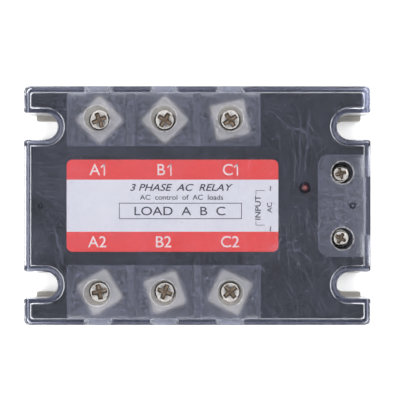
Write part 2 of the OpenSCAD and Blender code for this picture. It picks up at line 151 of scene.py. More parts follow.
def copy_of(node, name, finish, edge, body="case", sides=2, widths=None):
    """The node's own shape, merged and with its flat faces made whole, its edges then rounded by edge mm, or
    by what widths says for each of them."""
    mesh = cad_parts[node].data.copy()
    mesh.name = name
    mesh.materials.clear()
    mesh.materials.append(finish)
    bm = bmesh.new()
    bm.from_mesh(mesh)
    bmesh.ops.remove_doubles(bm, verts=bm.verts, dist=2e-6)
    bmesh.ops.dissolve_limit(bm, angle_limit=math.radians(0.4), verts=bm.verts, edges=bm.edges)
    for face in bm.faces:
        face.smooth = True
        face.material_index = 0
    weight = bm.edges.layers.float.new("bevel_weight_edge")
    for line in bm.edges:
        if len(line.link_faces) == 2 and line.calc_face_angle() > math.radians(SHARP):
            start, end = (np.array(v.co) / MM for v in line.verts)
            line[weight] = widths(start, end) / edge if widths else 1.0
    bm.to_mesh(mesh)
    bm.free()
    piece = bpy.data.objects.new(name, mesh)
    bpy.context.scene.collection.objects.link(piece)
    bevel = piece.modifiers.new("rounded edges", "BEVEL")
    bevel.width = edge * MM
    bevel.segments = sides
    bevel.limit_method = "WEIGHT"
    bevel.use_clamp_overlap = True
    weigh = piece.modifiers.new("flat faces stay flat", "WEIGHTED_NORMAL")
    weigh.keep_sharp = True
    return settle(piece, body, [node])


# ---------------------------------------------------------------- materials

class Wire:
    """A number on its way through a material. Arithmetic on it adds Math nodes."""

    def __init__(self, finish, socket):
        self.finish, self.socket = finish, socket

    def math(self, operation, *others):
        values = dict(enumerate((self, *others)))
        return self.finish.node("ShaderNodeMath", {"operation": operation}, values)

    def __add__(self, other):
        return self.math("ADD", other)

    def __sub__(self, other):
        return self.math("SUBTRACT", other)

    def __mul__(self, other):
        return self.math("MULTIPLY", other)

    def __rsub__(self, other):
        return self.finish.node("ShaderNodeMath", {"operation": "SUBTRACT"}, {0: other, 1: self})

    __radd__ = __add__
    __rmul__ = __mul__

    def __abs__(self):
        return self.math("ABSOLUTE")

    def over(self, low):
        return self.math("MAXIMUM", low)

    def under(self, high):
        return self.math("MINIMUM", high)

    def ramp(self, low, high, to_low=0.0, to_high=1.0):
        """Straight from to_low at low to to_high at high, and held beyond."""
        return self.finish.node("ShaderNodeMapRange", {"clamp": True},
                                {"Value": self, "From Min": low, "From Max": high,
                                 "To Min": to_low, "To Max": to_high})


class Finish:
    """One material, written as sums on Wires."""

    def __init__(self, name):
        self.material = bpy.data.materials.new(name)
        self.material.use_nodes = True
        self.tree = self.material.node_tree
        self.tree.nodes.clear()
        self.where = self.node("ShaderNodeTexCoord", {}, {}, "Object")

    def node(self, kind, settings, inputs, output=0):
        """Adds a node of a kind, sets its settings, then its inputs, and gives one of its outputs."""
        node = self.tree.nodes.new(kind)
        for key, value in settings.items():
            setattr(node, key, value)
        for key, value in inputs.items():
            socket = node.inputs[key]
            if isinstance(value, Wire):
                self.tree.links.new(value.socket, socket)
            elif hasattr(socket.default_value, "__len__") and len(socket.default_value) == 4:
                socket.default_value = (*value, 1)[:4]
            else:
                socket.default_value = value
        return Wire(self, node.outputs[output])

    def place(self, stretch=(1, 1, 1), turn=0.0, move=(0, 0, 0)):
        """Object coordinates in millimetres, moved, turned about z, then stretched."""
        turned_by = self.node("ShaderNodeVectorRotate", {"rotation_type": "Z_AXIS"},
                              {"Vector": self.where, "Angle": math.radians(turn)}) if turn else self.where
        return self.node("ShaderNodeMapping", {}, {"Vector": turned_by, "Location": move,
                                                   "Scale": tuple(1000.0 * s for s in stretch)})

    def xyz(self):
        """Object coordinates in millimetres as three Wires."""
        place = self.place()
        split = self.tree.nodes.new("ShaderNodeSeparateXYZ")
        self.tree.links.new(place.socket, split.inputs[0])
        return [Wire(self, o) for o in split.outputs]

    def noise(self, scale, detail=3.0, rough=0.5, **where):
        """Cloudy noise, scale in lumps a millimetre."""
        return self.node("ShaderNodeTexNoise", {}, {"Vector": self.place(**where), "Scale": scale,
                                                    "Detail": detail, "Roughness": rough}, "Fac")

    def mark(self, name):
        """The number that a piece's points carry under this name."""
        return self.node("ShaderNodeAttribute", {"attribute_name": name}, {}, "Fac")

    def cells(self, scale, **where):
        """Distance to the nearest cell edge."""
        return self.node("ShaderNodeTexVoronoi", {"feature": "DISTANCE_TO_EDGE"},
                         {"Vector": self.place(**where), "Scale": scale})

    def blend(self, share, low, high):
        """A colour between two, by a Wire from 0 to 1."""
        return self.node("ShaderNodeMix", {"data_type": "RGBA"}, {0: share, 6: low, 7: high}, 2)

    def bump(self, height, depth):
        """A normal from a height Wire that is worth depth millimetres."""
        inputs = {"Height": height, "Distance": depth * MM, "Strength": 1.0}
        return self.node("ShaderNodeBump", {}, inputs, "Normal")

    def surface(self, **inputs):
        """A Principled surface; input names are written with _ for spaces."""
        return self.node("ShaderNodeBsdfPrincipled", {},
                         {key.replace("_", " "): value for key, value in inputs.items()}, "BSDF")

    def mix(self, share, low, high):
        """A shader between two, by a Wire from 0 to 1."""
        return self.node("ShaderNodeMixShader", {}, {0: share, 1: low, 2: high})

    def done(self, shader):
        """The finished material."""
        output = self.tree.nodes.new("ShaderNodeOutputMaterial")
        self.tree.links.new(shader.socket, output.inputs["Surface"])
        return self.material


def rounded_rectangle(x, y, centre, half, radius):
    """Signed distance in millimetres to a rectangle with rounded corners: below 0 inside."""
    dx = abs(x - centre[0]) - (half[0] - radius)
    dy = abs(y - centre[1]) - (half[1] - radius)
    outside = (dx.over(0.0) * dx.over(0.0) + dy.over(0.0) * dy.over(0.0)).math("SQRT")
    return outside + dx.math("MAXIMUM", dy).under(0.0) - radius


def ring_distance(x, y, centre, radius):
    """Distance in millimetres from a circle drawn round a centre."""
    dx, dy = x - centre[0], y - centre[1]
    return abs((dx * dx + dy * dy).math("SQRT") - radius)


def scratch_line(f, x, y, start, end, width):
    """How near a point is to a scratch that wavers from start to end: 1 on it, 0 from width mm away."""
    (x0, y0), (x1, y1) = start, end
    length = math.hypot(x1 - x0, y1 - y0)
    ux, uy = (x1 - x0) / length, (y1 - y0) / length
    waver = f.noise(0.11, 2.0, move=(x0, y1, 0)) * 4.0 - 2.0
    along = (x - x0) * ux + (y - y0) * uy
    across = abs((x - x0) * uy - (y - y0) * ux + waver)
    return across.ramp(width, 0.0) * along.ramp(0.0, length * 0.3) * along.ramp(length, length * 0.7)


# Deeper scratches on the cover: from, to, half-width
SCRATCHES = [((33.8, 29.0), (32.4, 7.0), 0.32), ((33.3, 25.5), (37.0, 10.0), 0.30),
             ((30.6, 32.0), (31.6, 10.0), 0.35), ((35.0, 31.0), (33.0, 16.0), 0.5),
             ((27.0, 24.0), (37.5, 20.5), 0.5), ((26.0, -8.5), (35.5, -18.5), 0.35),
             ((23.5, -15.0), (37.5, -10.5), 0.3), ((-43.4, -5.0), (-41.2, -17.5), 0.7),
             ((20.0, 31.0), (34.0, 18.0), 0.3)]
# Fine hairs: turn of the pattern in degrees, its scale, and where it starts
HAIRS = ((84, 0.10, (3, 1, 0)), (87, 0.16, (17, 4, 0)), (-38, 0.12, (11, 5, 0)), (58, 0.13, (7, 19, 0)))
# Frosted windows over the terminals (both rows, then the inputs): centre, half sizes, corner radius
FROST_ROWS = ((-10.2, 26.2), (29.3, 8.1), 0.8)
FROST_INPUTS = ((45.2, 0.0), (8.6, 15.4), 3.4)
GATE_MARKS = (((47.1, 0.0), 0.7), ((-47.4, -0.1), 0.6))        # centre and radius
DULL_WALL = 1.8                        # how far in the wall tops look cloudy
SHADE_STRIP_HALF = 8.8                       # half-length of the painted shade strip at the input end


def clear_plastic():
    """Clear moulding: frosted windows over the terminals, cloudy wall tops, haze, dust, hair scratches and
    two gate marks, with painted light and shade: a highlight ring round each screw hole, a light patch at the
    top right corner, shade on the hole walls and the skirt's foot, and a dark strip at the input end."""
    f = Finish("clear cover plastic")
    x, y, z = f.xyz()
    window = rounded_rectangle(x, abs(y), *FROST_ROWS).math("MINIMUM", rounded_rectangle(x, y, *FROST_INPUTS))
    top = z.ramp(COVER_UNDER - 0.3, COVER_UNDER)
    skin = z.ramp(cover_hi[2] - 0.5, cover_hi[2] - 0.3)
    frost = window.ramp(0.15, -0.15) * top
    outline = rounded_rectangle(x, y, (0.0, 0.0), cover_hi[:2], COVER_CORNER)
    across, along = (SLOT[0] - abs(x)).over(0.0), abs(y) - SLOT[1]
    notch = (across * across + along * along).math("SQRT") - NOTCH_R
    wall = outline.ramp(-DULL_WALL - 0.1, -DULL_WALL + 0.1).math(
        "MAXIMUM", notch.ramp(DULL_WALL + 0.1, DULL_WALL - 0.1))
    # The holes over the screws, each with a painted highlight ring round its rim and painted shade on its
    # wall
    from_rim = None
    for number, radius in ((0, POWER_HOLE), (1, POWER_HOLE), (2, POWER_HOLE), (-1, INPUT_HOLE)):
        hole_x, hole_y = SCREW_AXES[number]
        dx, dy = x - hole_x, abs(y) - abs(hole_y)
        gap = (dx * dx + dy * dy).math("SQRT") - radius
        from_rim = gap if from_rim is None else from_rim.math("MINIMUM", gap)
    # painted highlight: a pale warm ring round each hole's edge, standing in for the light caught by the
    # rounded rim
    rim_highlight = abs(from_rim - 0.18).ramp(0.22, 0.06)
    # painted shade: the wall of each hole
    bore_shade = abs(from_rim).ramp(0.06, 0.03)
    grain = f.noise(7.0, 2.0)
    mottle = f.noise(1.1, 5.0, 0.7)
    haze = f.noise(0.09, 5.0, 0.6)
    dust = f.noise(2.3, 3.0, 0.6).ramp(0.60, 0.74)
    # painted light: a pale patch in the top right corner
    corner = x.ramp(49.6, 50.3) * y.ramp(26.5, 28.0)
    speck = f.noise(1.5, 1.0).ramp(0.73, 0.76)
    # Hair scratches, more of them towards the input end
    lines = None
    for turn, scale, move in HAIRS:
        hair = f.cells(scale, turn=turn, stretch=(0.22, 3.0, 1), move=move).ramp(0.010, 0.0)
        hair = hair * f.noise(0.11, 2.0, move=move).ramp(0.46, 0.62)
        lines = hair if lines is None else lines.math("MAXIMUM", hair)
    worn = None
    for line in SCRATCHES:
        mark = scratch_line(f, x, y, *line)
        worn = mark if worn is None else worn.math("MAXIMUM", mark)
    scratch = lines * x.ramp(-45.0, 30.0, 0.2, 1.0) * skin * (1 - frost * 0.8)
    gates = ring_distance(x, y, *GATE_MARKS[0]).math("MINIMUM", ring_distance(x, y, *GATE_MARKS[1]))
    # painted shade: a dark strip along the top at the input end, drawn with the same dark surface as the gate
    # marks
    strip = x.ramp(51.0, 51.3) * abs(y).ramp(SHADE_STRIP_HALF + 0.1, SHADE_STRIP_HALF - 0.1) * (mottle * 0.4 + 0.7)
    gate = gates.ramp(0.40, 0.20).math("MAXIMUM", strip) * skin
    foot = f.mark("foot")
    rough = (frost * 0.21 + haze * 0.04 + scratch * 0.2 + (1 - top) * 0.22 + foot * 0.4 + 0.01).under(0.6)
    normal = f.bump(grain * frost + scratch * -1.2 + gate * -3.0 + f.noise(0.05, 2.0) * 1.2, 0.010)
    # painted shade: the glass is tinted dark on the skirt's foot and on the hole walls
    painted_shade_tint = f.blend(foot.math("MAXIMUM", bore_shade), (0.965, 0.975, 0.99), (0.095, 0.105, 0.15))
    glass = f.surface(Base_Color=painted_shade_tint, Roughness=rough, Transmission_Weight=1.0, IOR=1.47, Normal=normal)
    # the milky layer turns pale and warm on the painted rim highlight
    milky = f.surface(Base_Color=f.blend(rim_highlight, (0.52, 0.56, 0.84), (0.84, 0.80, 0.76)), Roughness=0.6,
                      Normal=normal)
    shade = f.surface(Base_Color=(0.012, 0.013, 0.020), Roughness=0.4, Specular_IOR_Level=0.05, Normal=normal)
    cloudy = haze.ramp(0.38, 0.72) * 0.024 + mottle.ramp(0.46, 0.66) * 0.024
    share = (frost * mottle.ramp(0.35, 0.7, 0.01, 0.10) + scratch * 0.09 + worn * mottle * 0.11
             + x.ramp(-50.0, 50.0, 1.3, 0.6) * cloudy
             + corner * mottle.ramp(0.3, 0.65, 0.04, 0.24) + dust * 0.028 + speck * 0.14
             + wall * mottle.ramp(0.3, 0.7, 0.02, 0.09)
             + abs(window).ramp(0.3, 0.0) * 0.03 + rim_highlight * mottle.ramp(0.38, 0.62, 0.04, 0.30)) * skin
    hazy = f.mix(share.under(0.5), glass, milky)
    return f.done(f.mix((gate * 0.85).under(1.0), hazy, shade))


def black_plastic(name="black housing plastic", tone=(0.009, 0.010, 0.017)):
    """Moulded black plastic: fine grain under a slow drift of tone."""
    f = Finish(name)
    grain = f.noise(9.0, 3.0)
    cloud = f.noise(0.12, 3.0)
    base = f.blend(cloud.ramp(0.3, 0.7), tone, tuple(c * 1.7 for c in tone))
    rough = grain * 0.12 + cloud * 0.10 + 0.36
    return f.done(f.surface(Base_Color=base, Roughness=rough, IOR=1.5, Normal=f.bump(grain, 0.012)))


RED_FROM = 7.9                         # |y| where the label's red bands begin


def printed_label():
    """Red bands along both long edges of a pale sticker, with paper specks."""
    f = Finish("printed label")
    _, y, _ = f.xyz()
    band = abs(y).ramp(RED_FROM - 0.04, RED_FROM + 0.04)
    speck = f.noise(6.0, 3.0)
    cloud = f.noise(0.15, 3.0)
    red = f.blend(cloud, (0.84, 0.050, 0.045), (0.88, 0.070, 0.062))
    pale = f.blend(cloud, (0.74, 0.725, 0.79), (0.80, 0.785, 0.84))
    base = f.blend(band, pale, red)
    base = f.blend(speck.ramp(0.58, 0.8) * 0.25, base, (0.93, 0.90, 0.92))
    return f.done(f.surface(Base_Color=base, Roughness=speck * 0.12 + 0.30, Coat_Weight=0.2,
                            Coat_Roughness=0.2, Normal=f.bump(speck + f.noise(0.3, 2.0), 0.006)))


def ink(name, tone):
    """Printing ink with a fine speckle."""
    f = Finish(name)
    speck = f.noise(14.0, 3.0)
    base = f.blend(speck, tuple(c * 0.92 for c in tone), tuple(min(1.0, c * 1.08) for c in tone))
    return f.done(f.surface(Base_Color=base, Roughness=speck * 0.1 + 0.35, Normal=f.bump(speck, 0.004)))


def plated(name, light, dark, rough=0.24, stretch=(0.25, 3.0, 1)):
    """Nickel or zinc plate: fine drawn grain, cloudy tarnish, small pits."""
    f = Finish(name)
    cloud = f.noise(0.9, 4.0, 0.6)
    grain = f.noise(5.0, 4.0, 0.6, stretch=stretch)
    pits = f.noise(11.0, 2.0).ramp(0.68, 0.78)
    base = f.blend(cloud.ramp(0.3, 0.72), dark, light)
    base = f.blend(pits * 0.5, base, tuple(c * 0.45 for c in dark))
    roughness = cloud * 0.16 + grain * 0.12 + rough - 0.1
    return f.done(f.surface(Base_Color=base, Metallic=1.0, Roughness=roughness,
                            Normal=f.bump(grain * 0.6 + pits * -0.5, 0.012)))


def screw_plating():
    """Nickelled screws with painted shade in the cross recess: brown over it and near black down its walls.
    """
    f = Finish("screw plating")
    cloud = f.noise(0.9, 4.0, 0.6)
    grain = f.noise(5.0, 4.0, 0.6)
    recess_shade = f.mark("recess_shade")
    base = f.blend(cloud.ramp(0.3, 0.72), (0.36, 0.33, 0.30), (0.64, 0.61, 0.58))
    # painted shade in the cross recess: brown over it, near black down its walls
    base = f.blend((recess_shade * 2.0).under(1.0) * cloud.ramp(0.25, 0.6, 1.0, 0.8), base, (0.30, 0.215, 0.14))
    base = f.blend(recess_shade.ramp(0.6, 0.95), base, (0.020, 0.012, 0.008))
    return f.done(f.surface(Base_Color=base, Metallic=1.0,
                            Roughness=cloud * 0.10 + grain * 0.08 + recess_shade * 0.3 + 0.06,
                            Normal=f.bump(grain * 0.6, 0.012)))


def sheared_plate():
    """Bare metal plate: long rolling lines along X, upright shear marks on its edges, which are painted
    darker as shade, light oxide.
    """
    f = Finish("base plate metal")
    _, _, z = f.xyz()
    roll = f.noise(2.2, 5.0, 0.65, stretch=(0.05, 2.2, 1))
    shear = f.noise(3.4, 4.0, 0.6, stretch=(2.0, 2.0, 0.08))
    edge = z.ramp(0.1, 0.35) * z.ramp(2.9, 2.65)
    oxide = f.noise(0.25, 5.0, 0.6)
    grain = roll * (1 - edge) + shear * edge
    base = f.blend(oxide.ramp(0.3, 0.7), (0.50, 0.46, 0.41), (0.64, 0.61, 0.56))
    base = f.blend(grain.ramp(0.35, 0.75) * 0.55, base, (0.74, 0.71, 0.66))
    # painted shade: the side faces are blended towards dark steel
    base = f.blend(edge * 0.75, base, f.blend(grain, (0.17, 0.165, 0.16), (0.36, 0.35, 0.33)))
    return f.done(f.surface(Base_Color=base, Metallic=1.0, Roughness=oxide * 0.2 + grain * 0.15 + 0.22,
                            Normal=f.bump(grain, 0.03)))


def copper_strip():
    """Tinned copper with grain across the strip and copper showing through in patches."""
    f = Finish("tinned copper")
    cloud = f.noise(0.5, 4.0, 0.6)
    grain = f.noise(4.0, 4.0, 0.6, stretch=(3.0, 0.12, 0.12))
    base = f.blend(cloud.ramp(0.42, 0.66), (0.72, 0.69, 0.62), (0.70, 0.46, 0.30))
    return f.done(f.surface(Base_Color=base, Metallic=1.0, Roughness=cloud * 0.2 + grain * 0.12 + 0.16,
                            Normal=f.bump(grain, 0.012)))


def red_lens():
    """Dark red resin, darker towards its foot, with a painted highlight in the middle."""
    f = Finish("indicator lens")
    swirl = f.noise(1.6, 3.0)
    x, y, z = f.xyz()
    base = f.blend(z.ramp(housing_hi[2] - 2.0, housing_hi[2]), (0.02, 0.001, 0.0015), (0.055, 0.002, 0.003))
    dx, dy = x - middle("led")[0], y - middle("led")[1]
    # painted highlight: a lighter red spot in the middle of the dome
    base = f.blend((dx * dx + dy * dy).ramp(0.5, 0.1), base, (0.34, 0.09, 0.08))
    return f.done(f.surface(Base_Color=base, Roughness=swirl * 0.10 + 0.30, IOR=1.3, Coat_Weight=0.1,
                            Normal=f.bump(swirl, 0.01)))


def circuit_board():
    """Solder mask over a grid of tracks, with tinned rings round the pins."""
    f = Finish("circuit board")
    tracks = f.node("ShaderNodeTexBrick", {"offset": 0.5, "squash": 0.6, "squash_frequency": 3},
                    {"Vector": f.place(), "Scale": 0.32, "Mortar Size": 0.03, "Color1": (0, 0, 0),
                     "Color2": (0, 0, 0), "Mortar": (1, 1, 1)}, "Fac")
    speck = f.noise(6.0, 3.0)
    base = f.blend(tracks, (0.012, 0.105, 0.040), (0.035, 0.23, 0.09))
    base = f.blend(speck.ramp(0.66, 0.78) * 0.5, base, (0.45, 0.50, 0.42))
    return f.done(f.surface(Base_Color=base, Roughness=speck * 0.12 + 0.28, Coat_Weight=0.3,
                            Normal=f.bump(tracks * 0.6 + speck * 0.2, 0.04)))


def ceramic_tile():
    """White alumina with a copper face towards the chips."""
    f = Finish("ceramic tile")
    _, _, z = f.xyz()
    speck = f.noise(5.0, 4.0)
    pad = z.ramp(3.60, 3.66)
    base = f.blend(pad, (0.84, 0.83, 0.78), f.blend(speck, (0.66, 0.40, 0.24), (0.80, 0.55, 0.36)))
    return f.done(f.surface(Base_Color=base, Roughness=speck * 0.2 + 0.35, Metallic=pad * 0.9,
                            Normal=f.bump(speck, 0.01)))


def dipped(name, low, high, rough=0.3):
    """Coated, lacquered or moulded component bodies: slight colour drift, fine orange peel."""
    f = Finish(name)
    peel = f.noise(2.4, 3.0)
    speck = f.noise(10.0, 2.0)
    base = f.blend(peel.ramp(0.3, 0.7), low, high)
    return f.done(f.surface(Base_Color=base, Roughness=speck * 0.12 + rough, Coat_Weight=0.2,
                            Normal=f.bump(peel * 0.7 + speck * 0.3, 0.03)))


CLEAR = clear_plastic()
BLACK = black_plastic()
LABEL = printed_label()
WHITE_INK = ink("white lettering", (0.88, 0.72, 0.72))
DARK_INK = ink("dark lettering", (0.045, 0.045, 0.060))
WASHER_STEEL = plated("washer nickel", (0.95, 0.91, 0.84), (0.76, 0.71, 0.63), 0.55, stretch=(1, 1, 1))
CLAMP_STEEL = plated("clamp plate nickel", (0.64, 0.61, 0.58), (0.47, 0.44, 0.41), 0.40)
SCREW_STEEL = screw_plating()
PLATE_METAL = sheared_plate()
COPPER = copper_strip()
# painted shade: the input tabs are coloured near black, as they look dark down in their pockets
INPUT_STRIP_SHADE = plated("darkened input strip", (0.060, 0.055, 0.055), (0.030, 0.027, 0.026), 0.40)
LENS = red_lens()
BOARD = circuit_board()
TILE = ceramic_tile()
CHIP = plated("polished silicon", (0.34, 0.35, 0.42), (0.20, 0.21, 0.26), 0.18, stretch=(1, 1, 1))
PACKAGE = black_plastic("black package", (0.030, 0.030, 0.032))
FILM_BOX = dipped("yellow capacitor case", (0.60, 0.44, 0.07), (0.70, 0.54, 0.12))
RESISTOR = dipped("blue-grey lacquer", (0.26, 0.38, 0.45), (0.34, 0.47, 0.54))
VARISTOR = dipped("blue dipped coat", (0.05, 0.15, 0.36), (0.08, 0.22, 0.46), 0.22)
CAN = dipped("dark sleeve", (0.03, 0.04, 0.08), (0.05, 0.06, 0.12), 0.25)


# ---------------------------------------------------------------- case

def cover_edge(start, end):
    """How far an edge of the cover is rounded, in millimetres: most under the top, least on short edges of
    the outline, not at all at the skirt's foot."""
    x, y, z = (start + end) / 2
    hole = min(np.hypot(x - hx, y - hy) for hx, hy in SCREW_AXES) < 4.2
    short = np.hypot(*(end - start)[:2]) < 1.6 and abs(end[2] - start[2]) < 0.1
    if z > cover_hi[2] - 0.05:
        return 0.26 if hole else 0.12 if short else 0.24
    if abs(z - COVER_UNDER) < 0.05:
        return 0.20 if hole else 0.16 if short else 0.42
    return 0.0 if z < cover_lo[2] + 8.0 else 0.24


cover = copy_of("clear_cover", "cover_shell", CLEAR, 0.42, "cover", 3, widths=cover_edge).data
# faces of the skirt's foot, which the cover's material tints dark as painted shade
foot = [float(face.normal.z < -0.3 and face.center.z < (COVER_UNDER - 1.0) * MM) for face in cover.polygons]
cover.attributes.new("foot", "FLOAT", "FACE").data.foreach_set("value", foot)
copy_of("housing", "housing_shell", BLACK, 0.20)
copy_of("base_plate", "plate_metal", PLATE_METAL, 0.15)
copy_of("label", "label_film", LABEL, 0.03)


INK_TOP, INK_FILM = 0.020, 0.015       # how far ink stands over the label, and how thick it is


def printed(name, points, faces, finish):
    """A flat figure on the label, given the thickness of a film of ink."""
    piece = put(name, points, faces, finish, smooth=False, slot="label")
    film = piece.modifiers.new("ink film", "SOLIDIFY")
    film.thickness = INK_FILM * MM
    film.offset = -1.0
    return piece


def lettering(name, words, size, centre, finish, turn=0.0, shear=0.0, weight=0.0, wide=1.0):
    """Flat letters of a cap height in millimetres, centred on a point of the label."""
    curve = bpy.data.curves.new(name, "FONT")
    curve.body = words
    curve.size = 1.0
    curve.shear = shear
    curve.offset = weight
    curve.extrude = 0.0
    holder = bpy.data.objects.new(name + "_curve", curve)
    bpy.context.scene.collection.objects.link(holder)
    bpy.context.view_layer.update()
    flat = holder.evaluated_get(bpy.context.evaluated_depsgraph_get()).to_mesh()
    points = np.empty(len(flat.vertices) * 3)
    flat.vertices.foreach_get("co", points)
    points = points.reshape(-1, 3)
    faces = [list(p.vertices) for p in flat.polygons]
    bpy.data.objects.remove(holder)
    low, high = points.min(0), points.max(0)
    points = (points - (low + high) / 2) * (size / 0.73)
    points[:, 0] *= wide
    points[:, 2] = 0
    points, faces = spun((points, faces), turn, (*centre, label_hi[2] + INK_TOP))
    return printed(name, points, faces, finish)


def strokes(name, segments, width, finish):
    """Thin flat bars, each from one point to another on the label."""
    parts = []
    for (x0, y0), (x1, y1) in segments:
        a, b = np.array([x0, y0]), np.array([x1, y1])
        along = (b - a) / np.linalg.norm(b - a)
        side = np.array([-along[1], along[0]]) * width / 2
        ends = np.array([a - side - along * width / 2, b - side + along * width / 2,
                         b + side + along * width / 2, a + side - along * width / 2])
        parts.append((np.column_stack([ends, np.full(4, label_hi[2] + INK_TOP)]), [[0, 1, 2, 3]]))
    return printed(name, *joined(*parts), finish)


for name in POWER:
    cx, cy, _ = middle("screw_" + name)
    side = 1 if cy > 0 else -1
    row = side * 10.95
    if name[1] == "1":
        lettering("mark_" + name, name[0].upper(), 3.55, (cx - 0.75, row), WHITE_INK, weight=0.004)
        strokes("mark_one_" + name, [((cx + 2.15, row - 1.6), (cx + 2.15, row + 1.6)),
                                     ((cx + 2.15, row + 1.6), (cx + 1.25, row + 0.8))], 0.40, WHITE_INK)
    else:
        lettering("mark_" + name, name.upper(), 3.55, (cx - 0.05, row), WHITE_INK, weight=0.004)

lettering("title_line", "3 PHASE  AC  RELAY", 2.15, (-4.8, 5.55), DARK_INK, shear=0.28, weight=0.014,
          wide=1.16)
lettering("second_line", "AC  control  of  AC  loads", 1.55, (-4.8, 2.55), DARK_INK, weight=0.012, wide=1.1)
lettering("rating_box_text", "LOAD  A  B  C", 2.7, (-5.3, -1.62), DARK_INK, weight=0.006, wide=1.2)
strokes("rating_box", [((-23.7, 0.75), (13.4, 0.75)), ((13.4, 0.75), (13.4, -3.95)),
                       ((13.4, -3.95), (-23.7, -3.95)), ((-23.7, -3.95), (-23.7, 0.75))], 0.22, DARK_INK)
lettering("input_mark", "INPUT", 1.75, (18.4, -0.6), DARK_INK, turn=90, weight=0.016, wide=1.1)
lettering("input_kind", "AC", 1.5, (21.9, -0.6), DARK_INK, turn=90, weight=0.014, wide=1.1)
strokes("input_brackets", [((17.8, 4.6), (20.4, 4.6)), ((17.8, 4.6), (17.8, 3.4)),
                           ((17.8, -5.9), (20.4, -5.9)), ((17.8, -5.9), (17.8, -4.7))], 0.16, DARK_INK)
lettering("phase_sign_1", "~", 2.0, (22.2, 5.2), DARK_INK, turn=90, weight=0.014)
lettering("phase_sign_2", "~", 2.0, (22.2, -7.0), DARK_INK, turn=90, weight=0.014)


# ---------------------------------------------------------------- screws, plates and nuts

def pan_head(radius, height, recess, depth):
    """Pan head over the plane z = 0: a low barrel that rolls over into a flat crown. The cross recess is
    pressed in by lowering the crown where the distance to either arm of the cross is less than half an arm's
    width. Also gives each point's painted recess shade, which is most on the recess walls."""
    rolled = [(radius * 0.96, 0.0), (radius, 0.12 * height), (radius, 0.42 * height)]
    rolled += [(radius * (0.82 + 0.18 * math.cos(a)), height * (0.42 + 0.46 * math.sin(a)))
               for a in np.linspace(0.12, 1.35, 9)]
    edge_r, edge_h = rolled[-1]
    rings = np.linspace(edge_r, 0.02, 60)[1:]
    crown = [(r, edge_h + (height - edge_h) * (1 - (r / edge_r) ** 2)) for r in rings]

    def inside(x, y):
        across = np.minimum(np.abs(x), np.abs(y))
        along = np.maximum(np.abs(x), np.abs(y))
        arms = np.clip((radius * 0.21 - across) / 0.30, 0, 1) * np.clip((recess / 2 - along) / 0.34, 0, 1)
        centre = np.clip((radius * 0.34 - np.hypot(x, y)) / 0.30, 0, 1)
        return np.maximum(arms, centre)

    def pressed(x, y):
        slope = np.clip(1.15 - 0.9 * np.hypot(x, y) / recess, 0, 1)
        return depth * inside(x, y) * slope

    points, faces = turned(rolled + crown, 144, pressed=pressed)
    share = inside(points[:, 0], points[:, 1])
    # painted recess shade: most on the recess walls, less on its floor
    recess_shade = np.clip(0.5 * share + 2.6 * share * (1 - share), 0, 1)
    return points, faces, recess_shade


def thread(radius, pitch, length, depth=0.28, sides=28):
    """A threaded rod hanging from z = 0: the radius falls and rises once each pitch along the height, and the
    wave climbs one pitch a turn, so its crest is a helix. It fades out into a plain neck at the top and a
    point below."""
    rows = int(length / pitch * 8)
    z = np.linspace(-length, 0, rows)
    t = np.linspace(0, 2 * np.pi, sides, endpoint=False)
    zz, tt = np.meshgrid(z, t, indexing="ij")
    wave = np.abs(((zz / pitch - tt / (2 * np.pi)) % 1.0) * 2 - 1)
    fade = np.clip((-zz - 0.6) / 0.6, 0, 1)
    point = np.clip((zz + length) / 0.6, 0, 1)
    r = radius - depth * wave * fade - (1 - point) * 0.45
    points = np.stack([r * np.cos(tt), r * np.sin(tt), zz], -1).reshape(-1, 3)
    points = np.vstack([points, [[0, 0, -length], [0, 0, 0]]])
    return points, grid_faces(rows, sides) + end_fans(rows * sides, sides)


def screw(name, node, seat, sizes, turn, body):
    """A pan-head screw in a node's place, its head on the height seat and its recess turned by an angle."""
    thread_r, pitch, recess, depth = sizes
    cx, cy, _ = middle(node)
    low, high = span(node)
    *head, recess_shade = pan_head((high[0] - low[0]) / 2, high[2] - seat, recess, depth)
    points, faces = joined(head, thread(thread_r, pitch, seat - low[2]))
    marks = {"recess_shade": np.pad(recess_shade, (0, len(points) - len(recess_shade)))}
    put(name, *spun((points, faces), turn, (cx, cy, seat)), SCREW_STEEL, body, replaces=[node], marks=marks)


def square_plate(side, corner, thickness, hole, dish=0.12):
    """Square plate with rounded corners and a round hole. Its outline at angle t is a square whose corners
    are arcs of the corner radius; rings run from the hole out over the top, round the rim and back below."""
    sides = 96
    t = np.linspace(0, 2 * np.pi, sides, endpoint=False)
    half = side / 2

    def outline(t, inset):
        h = half - inset
        c = max(corner - inset, 0.15)
        u, v = np.abs(np.cos(t)), np.abs(np.sin(t))
        straight = h / np.maximum(u, v)
        k = h - c
        b = k * (u + v)
        disc = np.maximum(b * b - (2 * k * k - c * c), 0)
        arc = b + np.sqrt(disc)
        tall, low = np.maximum(u, v) * straight, np.minimum(u, v) * straight
        return np.where((low > k) & (tall >= k), arc, straight)

    rings = []
    for inset, z in ((None, 0.12), (None, thickness - 0.12), (2.0, thickness - dish),
                     (0.7, thickness - dish * 0.6), (0.45, thickness), (0.18, thickness),
                     (0.0, thickness - 0.2), (0.0, 0.15), (0.15, 0.0), (2.0, 0.0)):
        r = np.full(sides, hole) if inset is None else outline(t, inset)
        rings.append(np.stack([r * np.cos(t), r * np.sin(t), np.full(sides, z)], -1))
    rings.insert(2, rings[1] * [1.05, 1.05, 1] + [0, 0, 0.12 - dish * 0.5])
    rings.append(rings[0] * [1.05, 1.05, 0])
    points = np.vstack(rings)
    faces = [f[::-1] for f in grid_faces(len(rings), sides, True)]
    return points, faces


